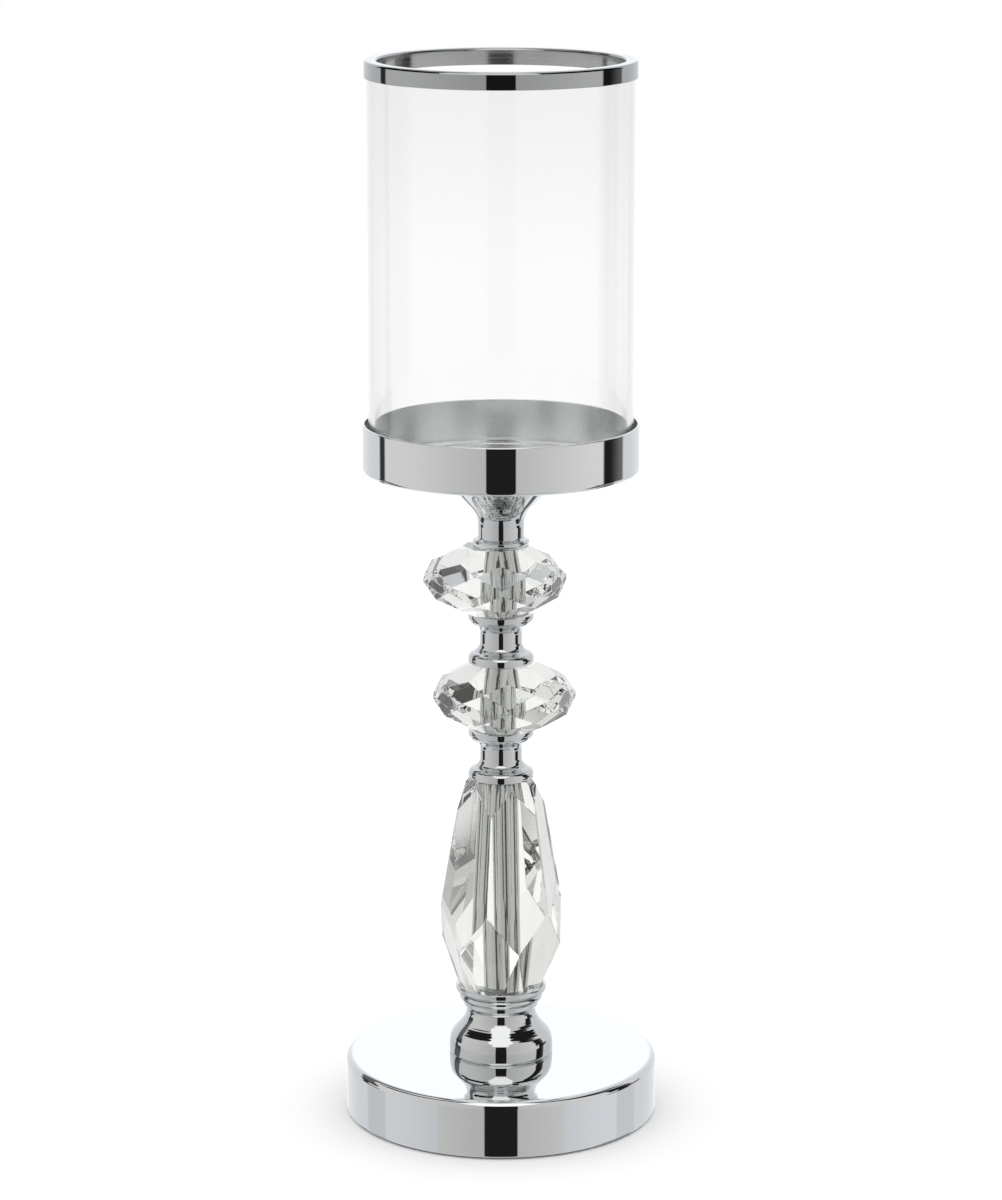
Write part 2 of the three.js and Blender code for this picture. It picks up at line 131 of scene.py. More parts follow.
def bump(board, height, strength, distance):
    sockets = {"Height": height, "Strength": strength, "Distance": distance * mm}
    return board.add("ShaderNodeBump", None, sockets, "Normal")


def fromAxis(board):  # distance from the axis and height, in millimetres
    parts = board.add("ShaderNodeSeparateXYZ", None, {0: objectPlace(board)})
    x, y, z = parts, parts.of("Y"), parts.of("Z")
    return board.calc("SQRT", x * x + y * y) / mm, z / mm


def drawnLines(board, look):  # a noise squeezed into the lines that drawing leaves
    level, upright = look["drawnScale"]
    squeeze = {0: objectPlace(board), 1: (level, level, upright)}
    return noise(board, 1, 2, board.add("ShaderNodeVectorMath", {"operation": "MULTIPLY"}, squeeze))


chromeLook = {
    "shell": (0.85, 0.86, 0.865, 1),  # the pressed base, plated brightest
    "fitting": (0.74, 0.75, 0.755, 1),  # turned and cast fittings
    "ring": (0.51, 0.52, 0.523, 1),
    "ringInside": (0.46, 0.466, 0.466, 1),  # its drawn inner wall is duller
    "ringInsideRoughness": 0.26,  # where its drawn lines are deepest
    "ringInsideRadius": 46.4,
    "drawnScale": (3, 900),  # drawn lines, around the ring and up its height
    "drawnRange": (0.3, 0.7),
    "drawnDepth": 0.004,
    "roughness": (0.012, 0.03),  # clean plate, and where it has been handled
    "handledScale": 38,
    "handledRange": (0.45, 0.75),
    "waviness": 0.004,  # of the polish, in millimetres
    "wavinessScale": 95,
}


def polishedChrome(kind):
    look = chromeLook
    material, board, shader = newFinish(kind + "Chrome", {"Metallic": 1, "Base Color": look[kind]})
    handled = board.between(noise(board, look["handledScale"]), *look["handledRange"])
    clean, dull = look["roughness"]
    roughness = clean + handled * (dull - clean)
    wavy = noise(board, look["wavinessScale"], 1)
    if kind == "ring":
        lines = drawnLines(board, look)
        inner = board.calc("LESS_THAN", fromAxis(board)[0], look["ringInsideRadius"])
        streaky = board.between(lines, *look["drawnRange"])
        streaks = board.blendColour(streaky, look["ringInside"], look["ring"])
        board.feed(shader.inputs["Base Color"], board.blendColour(inner, look["ring"], streaks))
        roughness = roughness + inner * lines * look["ringInsideRoughness"]
        wavy = wavy + lines * (look["drawnDepth"] / look["waviness"])
    board.feed(shader.inputs["Roughness"], roughness)
    board.feed(shader.inputs["Normal"], bump(board, wavy, 1, look["waviness"]))
    return material


cupLook = {
    "outside": (0.85, 0.86, 0.86, 1),
    "inside": (0.99, 1.0, 1.0, 1),
    "insideSpeck": (0.86, 0.88, 0.88, 1),
    "roughness": (0.015, 0.2),  # polished outside, satin inside
    "grainScale": 2600,
    "grainRange": (0.35, 0.65),
    "grain": 0.03,
    "ringPitch": 0.8,  # turning lines on the floor
    "ringDepth": 0.01,
}


def cupChrome(wallMiddle, floorMiddle, panWall, panMiddle):
    look = cupLook
    material, board, shader = newFinish("cupChrome", {"Metallic": 1})
    r, z = fromAxis(board)
    bowl = board.calc("LESS_THAN", r, wallMiddle) * board.calc("GREATER_THAN", z, floorMiddle)
    pan = board.calc("LESS_THAN", r, panWall) * board.calc("GREATER_THAN", z, panMiddle)
    inside = board.calc("MAXIMUM", bowl, pan)
    smooth, satin = look["roughness"]
    grain = noise(board, look["grainScale"], 2)
    speckled = board.between(grain, *look["grainRange"])
    satinShade = board.blendColour(speckled, look["inside"], look["insideSpeck"])
    board.feed(shader.inputs["Base Color"], board.blendColour(inside, look["outside"], satinShade))
    board.feed(shader.inputs["Roughness"], smooth + inside * (satin - smooth))
    rings = board.calc("SINE", r * (2 * math.pi / look["ringPitch"])) * look["ringDepth"]
    board.feed(shader.inputs["Normal"], bump(board, (rings + grain * look["grain"]) * inside, 1, 1))
    return material


smearRange = (0.55, 0.8)  # what fingers and moulding leave on a clear piece
crystalLook = {"colour": (0.975, 0.98, 0.962, 1), "ior": 1.52, "smear": (0.0, 0.004), "smearScale": 60}
glassLook = {
    "colour": (0.993, 0.993, 0.992, 1),
    "ior": 1.46,
    "smear": (0.0, 0.02),
    "smearScale": 14,
    "mirror": 0.3,  # thin wall: its mirror images stay faint
    "paintedRingShade": (0.945, 0.944, 0.943, 1),  # painted shade: the glass darker towards its top, under the ring
    "paintedRingShadeHeights": (320, 404),
}
plasticLook = {"colour": (0.92, 0.94, 0.93, 1), "ior": 1.45, "smear": (0.1, 0.16), "smearScale": 300}


def clearFinish(name, look):
    constants = {"Base Color": look["colour"], "Transmission Weight": 1, "IOR": look["ior"]}
    if "mirror" in look:
        constants["Specular Tint"] = grey(look["mirror"])
    material, board, shader = newFinish(name, constants)
    # painted shade: the glass is tinted darker towards its top, under the ring
    if "paintedRingShade" in look:
        ringShadeMask = board.between(fromAxis(board)[1], *look["paintedRingShadeHeights"])
        board.feed(shader.inputs["Base Color"], board.blendColour(ringShadeMask, look["colour"], look["paintedRingShade"]))
    clean, dull = look["smear"]
    touched = board.between(noise(board, look["smearScale"]), *smearRange)
    board.feed(shader.inputs["Roughness"], clean + touched * (dull - clean))
    return material


sleeveLook = {
    "bright": (0.64, 0.65, 0.635, 1),
    "drawn": (0.5, 0.51, 0.5, 1),
    "drawnScale": (600, 9),  # fine lines, around the tube and along it
    "drawnRange": (0.35, 0.65),
    "roughness": (0.0, 0.012),
}


def sleeveChrome():  # drawn tube, clean inside its stone
    look = sleeveLook
    material, board, shader = newFinish("sleeveChrome", {"Metallic": 1})
    lines = board.between(drawnLines(board, look), *look["drawnRange"])
    clean, dull = look["roughness"]
    board.feed(shader.inputs["Base Color"], board.blendColour(lines, look["bright"], look["drawn"]))
    board.feed(shader.inputs["Roughness"], clean + lines * (dull - clean))
    return material


grainLook = {  # duller metals and foam: two shades that follow their grain, and the depth of it
    "zincPlate": {
        "shades": ((0.66, 0.67, 0.68, 1), (0.5, 0.51, 0.53, 1)),
        "surface": {"Metallic": 1, "Roughness": 0.32},
        "scale": 240,
        "detail": 3,
        "bump": (0.3, 0.02),
    },
    "castIron": {
        "shades": ((0.03, 0.03, 0.032, 1), (0.07, 0.07, 0.072, 1)),
        "surface": {"Metallic": 0.2, "Roughness": 0.62},
        "scale": 420,
        "detail": 5,
        "bump": (0.8, 0.12),
    },
    "blackFoam": {
        "shades": ((0.012, 0.012, 0.014, 1), (0.035, 0.035, 0.04, 1)),
        "surface": {"Roughness": 0.9},
        "scale": 900,
        "bump": (0.9, 0.1),
    },
}


def grainFinish(name):
    look = grainLook[name]
    material, board, shader = newFinish(name, look["surface"])
    if "detail" in look:
        grain = noise(board, look["scale"], look["detail"])
    else:
        cells = {"Vector": objectPlace(board), "Scale": look["scale"]}
        grain = board.add("ShaderNodeTexVoronoi", None, cells)
    board.feed(shader.inputs["Base Color"], board.blendColour(grain, *look["shades"]))
    board.feed(shader.inputs["Normal"], bump(board, grain, *look["bump"]))
    return material


print("finishes made")

# Turned pieces: a profile in millimetres, radius and height, goes up the outside and down the bore.

def low(node):
    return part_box(node)[0].z / mm


def high(node):
    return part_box(node)[1].z / mm


def radiusOf(node):
    lowest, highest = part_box(node)
    return max(highest.x, highest.y, -lowest.x, -lowest.y) / mm


latheLook = {
    "arcStep": 6,
    "curveSteps": 24,
    "hold": 0.22,
    "longRun": 1.2,
    "weld": 0.0005,
    "sharpAngle": 28,
    "loose": 1e-8,
}


def arcRun(r, z, radius, start, end):  # angles in degrees, from outwards towards up
    steps = max(2, math.ceil(abs(end - start) / latheLook["arcStep"]))
    angles = [math.radians(start + (end - start) * i / steps) for i in range(steps + 1)]
    return [(r + radius * math.cos(a), z + radius * math.sin(a)) for a in angles]


def curveRun(*points):  # a smooth run with its two handles
    knots = [Vector((r, z, 0)) for r, z in points]
    return [(p.x, p.y) for p in interpolate_bezier(*knots, latheLook["curveSteps"])]


def fillRun(points, step):  # the same run with a point at every step
    dense = [points[0]]
    for (r0, z0), (r1, z1) in zip(points, points[1:]):
        count = max(1, math.ceil(math.dist((r0, z0), (r1, z1)) / step))
        dense += [(r0 + (r1 - r0) * i / count, z0 + (z1 - z0) * i / count) for i in range(1, count + 1)]
    return dense


def heldRun(points):  # keeps long straight runs straight, right up to their rounded ends
    made = [points[0]]
    for (r0, z0), (r1, z1) in zip(points, points[1:]):
        length = math.dist((r0, z0), (r1, z1))
        if length > latheLook["longRun"]:
            share = latheLook["hold"] / length
            made += [(r0 + (r1 - r0) * t, z0 + (z1 - z0) * t) for t in (share, 1 - share)]
        made.append((r1, z1))
    return made


def raisedRun(points, bottom):
    return [(r, bottom + z) for r, z in points]


def turnedTree():
    tree = bpy.data.node_groups.new("turnedPiece", "GeometryNodeTree")
    sockets = {
        "Profile": "NodeSocketGeometry",
        "Segments": "NodeSocketInt",
        "Weld": "NodeSocketFloat",
        "Ring Depth": "NodeSocketFloat",
        "Ring Pitch": "NodeSocketFloat",
        "Ring From": "NodeSocketFloat",
        "Ring To": "NodeSocketFloat",
        "Ring Radius": "NodeSocketFloat",
        "Ring Lead": "NodeSocketFloat",
        "Finish": "NodeSocketMaterial",
    }
    for name, kind in sockets.items():
        tree.interface.new_socket(name, in_out="INPUT", socket_type=kind)
    tree.interface.new_socket("Piece", in_out="OUTPUT", socket_type="NodeSocketGeometry")
    board = Board(tree)
    given = board.add("NodeGroupInput", output="Profile")
    segments = given.of("Segments")
    rows = board.add("GeometryNodeAttributeDomainSize", None, {0: given}, "Point Count")
    columns = segments + 1
    grid = board.add("GeometryNodeMeshGrid", None, {"Vertices X": rows, "Vertices Y": columns})
    index = board.add("GeometryNodeInputIndex")
    row = board.calc("FLOOR", (index + 0.5) / columns)
    turn = (index - row * columns) * (2 * math.pi) / segments
    place = board.add("GeometryNodeInputPosition")
    sampled = {"Geometry": given, "Value": place, "Index": row}
    point = board.add("GeometryNodeSampleIndex", {"data_type": "FLOAT_VECTOR"}, sampled)
    parts = board.add("ShaderNodeSeparateXYZ", None, {0: point})
    r, z = parts, parts.of("Z")
    inRings = (
        board.calc("GREATER_THAN", z, given.of("Ring From"))
        * board.calc("LESS_THAN", z, given.of("Ring To"))
        * board.calc("GREATER_THAN", r, given.of("Ring Radius"))
    )
    climb = (z - given.of("Ring From")) * (2 * math.pi) / given.of("Ring Pitch")
    wave = board.calc("SINE", climb - turn * given.of("Ring Lead"))
    r = r + wave * inRings * given.of("Ring Depth")
    x, y = r * board.calc("COSINE", turn), r * board.calc("SINE", turn)
    spun = board.add("ShaderNodeCombineXYZ", None, {"X": x, "Y": y, "Z": z})
    body = board.add("GeometryNodeSetPosition", None, {"Geometry": grid, "Position": spun})
    welded = {"Geometry": body, "Distance": given.of("Weld")}
    body = board.add("GeometryNodeMergeByDistance", None, welded)
    body = board.add("GeometryNodeSetShadeSmooth", None, {"Geometry": body, "Shade Smooth": True})
    finished = {"Geometry": body, "Material": given.of("Finish")}
    body = board.add("GeometryNodeSetMaterial", None, finished)
    board.add("NodeGroupOutput", None, {0: body})
    return tree


def treeResult(name, seed, tree, values):  # runs a tree on a seed mesh and keeps the plain result
    source = bpy.data.objects.new(name + "Seed", seed)
    bpy.context.scene.collection.objects.link(source)
    modifier = source.modifiers.new(name, "NODES")
    modifier.node_group = tree
    keys = {item.name: item.identifier for item in tree.interface.items_tree if item.in_out == "INPUT"}
    for label, value in values.items():
        modifier[keys[label]] = value
    evaluated = source.evaluated_get(bpy.context.evaluated_depsgraph_get())
    mesh = bpy.data.meshes.new_from_object(evaluated)
    source.modifiers.remove(modifier)
    bpy.data.objects.remove(source)
    return mesh


def outward(mesh):  # all faces out, loose bits gone
    body = bmesh.new()
    body.from_mesh(mesh)
    bmesh.ops.dissolve_degenerate(body, dist=latheLook["loose"], edges=body.edges[:])
    bmesh.ops.recalc_face_normals(body, faces=body.faces[:])
    if body.calc_volume(signed=True) < 0:
        bmesh.ops.reverse_faces(body, faces=body.faces[:])
    body.to_mesh(mesh)
    body.free()


def place(name, mesh, body, slot, *nodes):
    piece = bpy.data.objects.new(name, mesh)
    mesh.name = name
    bpy.context.scene.collection.objects.link(piece)
    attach(piece, body)
    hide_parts(*nodes)
    return piece


noRings = {"Depth": 0.0, "Pitch": 1.0, "From": 0.0, "To": 0.0, "Radius": 0.0, "Lead": 0.0}
lathe = turnedTree()


def turned(name, profile, finish, node, slot, body="stand", segments=192, rings=noRings):
    closed = profile + [profile[0]] if profile[0][0] > 0 else profile
    points = heldRun(closed)
    seed = bpy.data.meshes.new(name + "Profile")
    links = [(i, i + 1) for i in range(len(points) - 1)]
    seed.from_pydata([(r * mm, 0, z * mm) for r, z in points], links, [])
    values = {"Segments": segments, "Weld": latheLook["weld"] * mm, "Finish": finish}
    for key, value in {**noRings, **rings}.items():
        values["Ring " + key] = value if key == "Lead" else value * mm
    mesh = treeResult(name, seed, lathe, values)
    outward(mesh)
    mesh.set_sharp_from_angle(angle=math.radians(latheLook["sharpAngle"]))
    return place(name, mesh, body, slot, node)


def tube(name, node, finish, slot, inner, chamfer, clear=0):  # a ring or tube with its edges eased
    outer, bottom, top, c = radiusOf(node), low(node) + clear, high(node) - clear, chamfer
    profile = [(inner + c, bottom), (outer - c, bottom), (outer, bottom + c), (outer, top - c)]
    profile += [(outer - c, top), (inner + c, top), (inner, top - c), (inner, bottom + c)]
    return turned(name, profile, finish, node, slot, segments=96)


shellChrome = polishedChrome("shell")
fittingChrome = polishedChrome("fitting")
tubeChrome = sleeveChrome()
crystal = clearFinish("cutCrystal", crystalLook)
plastic = clearFinish("clearPlastic", plasticLook)
zinc = grainFinish("zincPlate")

# Base

baseSize = {"wall": 1.2, "edgeRound": 2.6, "foldRound": 0.55, "hole": 3.2, "padRound": 0.5}


def baseShell():
    size = baseSize
    radius, bottom, top = radiusOf("base_shell"), low("base_shell"), high("base_shell")
    edge, fold, wall = size["edgeRound"], size["foldRound"], size["wall"]
    profile = [
        *arcRun(radius - wall + fold, bottom + fold, fold, 180, 270),
        *arcRun(radius - fold, bottom + fold, fold, 270, 360),
        *arcRun(radius - edge, top - edge, edge, 0, 90),
        (size["hole"], top),
        (size["hole"], top - wall),
        *arcRun(radius - edge, top - edge, edge - wall, 90, 0),
    ]
    turned("baseShell", profile, shellChrome, "base_shell", "chrome", segments=256)


def basePad():
    radius, bottom, top = radiusOf("base_pad"), low("base_pad"), high("base_pad")
    soft = baseSize["padRound"]
    edge = arcRun(radius - soft, bottom + soft, soft, -90, 0)
    profile = [(0, bottom), *edge, (radius, top), (0, top)]
    turned("basePad", profile, grainFinish("blackFoam"), "base_pad", "foam", segments=128)


baseShell()
basePad()
print("base made")

# Column and rondelles

columnSize = {
    "sides": 6,
    "turn": -13,  # azimuth of one ridge, in degrees
    "kneeHeight": 19.2,
    "apexHeight": 34.7,
    "shoulderHeight": 72.2,
    "kneePanel": 23.5,
    "shoulderPanel": 15.3,
    "baseTriangle": 15.1,
    "topRadius": 12.3,
}


def facet(azimuth, distance, z, slope):  # azimuth from the front, in degrees
    a = math.radians(azimuth)
    normal = Vector((math.sin(a), -math.cos(a), slope))
    return normal.normalized(), (distance + slope * z) / normal.length


def tier(count, azimuth, distance, z, slope):
    return [facet(azimuth + 360 * i / count, distance, z, slope) for i in range(count)]


def endFaces(height):
    return [(Vector((0, 0, 1)), height), (Vector((0, 0, -1)), 0)]


def columnSkirt():
    s = columnSize
    toRidge = math.cos(math.pi / s["sides"])
    panelSlope = (s["kneePanel"] - s["shoulderPanel"]) / (s["shoulderHeight"] - s["kneeHeight"])
    apexPanel = s["kneePanel"] - panelSlope * (s["apexHeight"] - s["kneeHeight"])
    apexKite, kneeKite = apexPanel / toRidge, s["kneePanel"] * toRidge
    kiteSlope = (kneeKite - apexKite) / (s["apexHeight"] - s["kneeHeight"])
    return panelSlope, apexKite, kiteSlope


def columnFootRadius():
    _, apexKite, kiteSlope = columnSkirt()
    a = apexKite + kiteSlope * columnSize["apexHeight"]
    b = columnSize["baseTriangle"]
    step = math.pi / columnSize["sides"]
    return math.sqrt(a * a + b * b - 2 * a * b * math.cos(step)) / math.sin(step)


def columnFacets(height):
    s = columnSize
    half = 180 / s["sides"]
    toRidge = math.cos(math.radians(half))
    panelSlope, apexKite, kiteSlope = columnSkirt()
    triangleSlope = (s["baseTriangle"] - s["kneePanel"]) / s["kneeHeight"]
    shoulderRidge = s["shoulderPanel"] / toRidge
    topSlope = (shoulderRidge - s["topRadius"] * toRidge) / (height - s["shoulderHeight"])
    return [
        *tier(s["sides"], s["turn"] + half, s["kneePanel"], s["kneeHeight"], panelSlope),
        *tier(s["sides"], s["turn"], apexKite, s["apexHeight"], kiteSlope),
        *tier(s["sides"], s["turn"] + half, s["kneePanel"], s["kneeHeight"], triangleSlope),
        *tier(s["sides"], s["turn"], shoulderRidge, s["shoulderHeight"], topSlope),
        *endFaces(height),
    ]


rondelleSize = {
    "sides": 8,
    "girdleRadius": 27.3,
    "edgeHalf": 0.95,
    "shoulderHalf": 5.6,
    "tableRadius": 12.4,
    "lowerTurn": 4,
    "upperTurn": 6,
    "lowerOffset": 1.3,  # drilled a little off their middle
    "upperOffset": -2.3,
}


def shifted(facets, offset):
    return [(normal, reach + normal.x * offset) for normal, reach in facets]


def rondelleFacets(height, turn):
    s = rondelleSize
    half = 180 / s["sides"]
    toRidge = math.cos(math.radians(half))
    middle = height / 2
    girdle = s["girdleRadius"] * toRidge
    crownSlope = (s["girdleRadius"] - girdle * toRidge) / (s["shoulderHalf"] - s["edgeHalf"])
    kiteSlope = (girdle - s["tableRadius"] * toRidge) / (middle - s["shoulderHalf"])
    return [
        *tier(s["sides"], turn + half, girdle, middle, 0),
        *tier(s["sides"], turn, s["girdleRadius"], middle + s["edgeHalf"], crownSlope),
        *tier(s["sides"], turn, s["girdleRadius"], middle - s["edgeHalf"], -crownSlope),
        *tier(s["sides"], turn + half, girdle, middle + s["shoulderHalf"], kiteSlope),
        *tier(s["sides"], turn + half, girdle, middle - s["shoulderHalf"], -kiteSlope),
        *endFaces(height),
    ]


stoneLook = {
    "edgeEase": 0.12,
    "boreSides": 96,
    "near": 2e-4,
    "weld": 0.01,
    "shortEdge": 0.001,
    "blank": 200,
    "bedding": 0.01,  # how far the bore reaches into its sleeve, so that no film of air shows
}


def cutStone(name, node, facets):
    height = high(node) - low(node)
    bore = radiusOf(node.replace("crystal", "sleeve")) - stoneLook["bedding"]
    stone = bmesh.new()
    bmesh.ops.create_cube(stone, size=stoneLook["blank"])
    for normal, reach in facets:
        parts = stone.verts[:] + stone.edges[:] + stone.faces[:]
        cut = bmesh.ops.bisect_plane(
            stone,
            geom=parts,
            dist=stoneLook["near"],
            plane_co=normal * reach,
            plane_no=normal,
            clear_outer=True,
        )
        edges = [part for part in cut["geom_cut"] if isinstance(part, bmesh.types.BMEdge)]
        if len(edges) > 2:
            bmesh.ops.holes_fill(stone, edges=edges)
    bmesh.ops.remove_doubles(stone, verts=stone.verts[:], dist=stoneLook["weld"])
    bmesh.ops.dissolve_degenerate(stone, dist=stoneLook["shortEdge"], edges=stone.edges[:])
    bmesh.ops.bevel(
        stone,
        geom=stone.edges[:],
        offset=stoneLook["edgeEase"],
        segments=1,
        profile=0.5,
        affect="EDGES",
        clamp_overlap=True,
    )
    drill(stone, bore, height)
    settle(stone)
    mesh = bpy.data.meshes.new(name)
    bmesh.ops.scale(stone, vec=Vector((mm, mm, mm)), verts=stone.verts[:])
    bmesh.ops.translate(stone, vec=Vector((0, 0, low(node) * mm)), verts=stone.verts[:])
    stone.to_mesh(mesh)
    stone.free()
    mesh.materials.append(crystal)
    return place(name, mesh, "stand", "crystal", node)


def drill(stone, radius, height):  # the hole for the sleeve, with smooth walls
    ends = [max(stone.faces, key=lambda face: face.calc_center_median().z * way) for way in (-1, 1)]
    loops = [face.edges[:] for face in ends]
    bmesh.ops.delete(stone, geom=ends, context="FACES_ONLY")
    circles = []
    count = stoneLook["boreSides"]
    turns = [2 * math.pi * i / count for i in range(count)]
    around = [(radius * math.cos(a), radius * math.sin(a)) for a in turns]
    for z in (0, height):
        circles.append([stone.verts.new((x, y, z)) for x, y in around])
    for circle, loop in zip(circles, loops):
        rim = [stone.edges.new((circle[i - 1], circle[i])) for i in range(count)]
        bmesh.ops.triangle_fill(stone, use_beauty=True, edges=rim + loop)
    for i in range(count):
        corners = (circles[0][i - 1], circles[0][i], circles[1][i], circles[1][i - 1])
        stone.faces.new(corners).smooth = True
    bmesh.ops.recalc_face_normals(stone, faces=stone.faces[:])


def cornersOf(part):
    return sorted(corner.index for corner in part.verts)


def settle(stone):  # the same order on each run, because the fill round the bore leaves it open
    ranks = (
        (stone.verts, lambda corner: corner.co[:]),
        (stone.edges, cornersOf),
        (stone.faces, cornersOf),
    )
    for parts, rank in ranks:
        for i, part in enumerate(sorted(parts, key=rank)):
            part.index = i
        parts.sort()
        parts.index_update()


# Foot, whose lip holds the column

footSize = {  # radii, and heights above the base's top
    "seatArc": (19.2, 0.5, 0.5, -90, -20),
    "hemCurve": ((19.75, 0.55), (19.95, 0.75), (20.0, 1.0)),
    "bulge": (20.0, 1.5),
    "bulgeLean": 5.5,
    "turn": (17.3, 10.1),  # where the bulge turns into the hollow neck
    "turnSlope": 0.9,
    "turnLean": (1.9, 1.6),
    "waist": (13.3, 17.4),
    "waistLean": 3.3,
    "stepCurve": ((13.3, 18.2), (13.6, 18.6), (14.0, 19.1)),
    "stepArc": (14.05, 19.45, 0.25, -60, 0),
    "stepTop": (14.3, 21.05),
    "beadArc": (14.25, 22.85, 1.75, -75, 65),
    "underLip": (15.5, 25.3),
    "lipGap": 0.6,
    "lipWall": 1.1,
    "lipRounds": (0.5, 0.45),  # below and above
    "lipStart": -80,
    "recess": 2.0,
    "hole": 3.2,
    "hollow": ((3.2, 12.0), (9.6, 10.0), (14.6, 6.0)),
    "hollowRadius": 14.6,
    "rowStep": 0.12,  # close rows that carry the turning marks
    "marks": {"Depth": 0.009, "Pitch": 0.92, "From": 6.4, "To": 14.4, "Radius": 11.68},
}


def stemFoot():
    s = footSize
    bottom = low("stem_foot")
    height = high("stem_foot") - bottom
    lipInner = columnFootRadius() + s["lipGap"]
    lipOuter = lipInner + s["lipWall"]
    under, over = s["lipRounds"]
    bulge, turn, waist = s["bulge"], s["turn"], s["waist"]
    slope = s["turnSlope"]
    below, above = s["turnLean"]
    bulgeHandle = (bulge[0], bulge[1] + s["bulgeLean"])
    lowHandle = (turn[0] + slope * below, turn[1] - below)
    highHandle = (turn[0] - slope * above, turn[1] + above)
    waistHandle = (waist[0], waist[1] - s["waistLean"])
    swell = curveRun(bulge, bulgeHandle, lowHandle, turn)
    neck = curveRun(turn, highHandle, waistHandle, waist)
    shape = [
        (s["hollowRadius"], 0),
        *arcRun(*s["seatArc"]),
        *curveRun(*s["hemCurve"], bulge),
        *fillRun(swell + neck, s["rowStep"]),
        *curveRun(waist, *s["stepCurve"]),
        *arcRun(*s["stepArc"]),
        s["stepTop"],
        *arcRun(*s["beadArc"]),
        s["underLip"],
        *arcRun(lipOuter - under, s["underLip"][1] + under, under, s["lipStart"], 0),
        *arcRun(lipOuter - over, height - over, over, 0, 90),
        (lipInner, height),
        (lipInner, height - s["recess"]),
        (s["hole"], height - s["recess"]),
        *s["hollow"],
    ]
    marks = dict(s["marks"])
    marks["From"] += bottom
    marks["To"] += bottom
    profile = raisedRun(shape, bottom)
    turned("stemFoot", profile, fittingChrome, "stem_foot", "chrome", rings=marks)


stemFoot()
print("foot made")

# The stones, each on its sleeve between two washers

sleeveSize = {"inner": 3.4, "chamfer": 0.2}
spacerSize = {"inner": 5.6, "chamfer": 0.08, "clear": 0.02}


def rondelle(turn, offset):
    height = high("lower_rondelle_crystal") - low("lower_rondelle_crystal")
    return shifted(rondelleFacets(height, turn), offset)


stones = {
    "column": columnFacets(high("column_crystal") - low("column_crystal")),
    "lower_rondelle": rondelle(rondelleSize["lowerTurn"], rondelleSize["lowerOffset"]),
    "upper_rondelle": rondelle(rondelleSize["upperTurn"], rondelleSize["upperOffset"]),
}
for stoneName, facets in stones.items():
    plain = stoneName.title().replace("_", "")
    plain = plain[0].lower() + plain[1:]
    cutStone(plain + "Crystal", stoneName + "_crystal", facets)
    tube(plain + "Sleeve", stoneName + "_sleeve", tubeChrome, "chrome", **sleeveSize)
    for end in ("lower", "upper"):
        spacer = f"{stoneName}_{end}_washer"
        tube(f"{plain}{end.title()}Washer", spacer, plastic, "clear_plastic", **spacerSize)
print("crystals cut:", len(stones))

# Spools and neck

spoolSize = {
    "band": 1.3,
    "neckRadius": 8.0,
    "round": 2.9,
    "sweep": 70,
    "hole": 3.2,
    "edge": 0.25,
    "edgeTurn": -12,
}


def spoolProfile(radius, height):
    s = spoolSize
    sweep = math.radians(s["sweep"])
    roundR = radius - s["round"]
    hollow = (roundR + s["round"] * math.cos(sweep) - s["neckRadius"]) / (1 - math.cos(sweep))
    reach = s["round"] + hollow
    hollowR = roundR + reach * math.cos(sweep)
    hollowZ = s["band"] + reach * math.sin(sweep)
    lower = [
        *arcRun(radius - s["edge"], s["edge"], s["edge"], -90, s["edgeTurn"]),
        *arcRun(roundR, s["band"], s["round"], 0, s["sweep"]),
        *arcRun(hollowR, hollowZ, hollow, 180 + s["sweep"], 180)[1:],
    ]
    upper = [(r, height - z) for r, z in reversed(lower)]
    return [(s["hole"], 0), *lower, *upper, (s["hole"], height)]


def spool(name, node):
    bottom = low(node)
    shape = spoolProfile(radiusOf(node), high(node) - bottom)
    turned(name, raisedRun(shape, bottom), fittingChrome, node, "chrome")


neckSize = {  # radii, and heights above the upper stone
    "beadArc": (9.45, 1.25, 1.25, -88, 75),
    "collarCurve": ((9.6, 2.55), (8.9, 2.7), (8.7, 3.0), (8.7, 3.7)),
    "stem": (8.7, 7.6),
    "stemLean": 3.9,
    "bell": (12.6, 15.6),  # where the flare stops opening faster
    "bellLean": (2.0, 1.5),
    "rim": (19.0, 23.0),
    "rimLean": (0.6, 1.0),
    "mouthRadius": 14.6,
    "mouthDepth": 5.3,
    "hole": 3.2,
}


def cupNeck():
    s = neckSize
    bottom = low("cup_neck")
    height = high("cup_neck") - bottom
    stem, bell, rim = s["stem"], s["bell"], s["rim"]
    below, above = s["bellLean"]
    stemHandle = (stem[0], stem[1] + s["stemLean"])
    lowHandle = (bell[0] - below, bell[1] - below)
    highHandle = (bell[0] + above, bell[1] + above)
    rimHandle = (rim[0] - s["rimLean"][0], rim[1] - s["rimLean"][1])
    shape = [
        (s["hole"], 0),
        *arcRun(*s["beadArc"]),
        *curveRun(*s["collarCurve"]),
        *curveRun(stem, stemHandle, lowHandle, bell),
        *curveRun(bell, highHandle, rimHandle, rim),
        (rim[0], height),
        (s["mouthRadius"], height),
        (s["mouthRadius"], height - s["mouthDepth"]),
        (s["hole"], height - s["mouthDepth"]),
    ]
    turned("cupNeck", raisedRun(shape, bottom), fittingChrome, "cup_neck", "chrome")


spool("lowerSpool", "lower_spool")
spool("upperSpool", "upper_spool")
cupNeck()
print("spools and neck made")

# Cup, with the pan that hides the nut

cupSize = {
    "wall": 1.0,
    "floor": 1.2,
    "edgeRound": 1.6,
    "lipRound": 0.42,
    "panRadius": 13.2,
    "panDepth": 4.9,
    "panRound": 0.6,
    "wellRound": 0.5,  # from the plate down into the pan
    "hole": 3.2,
    "plateRadius": 44.0,  # raised plate for the candle, inside the glass
    "plateRise": 0.4,
}


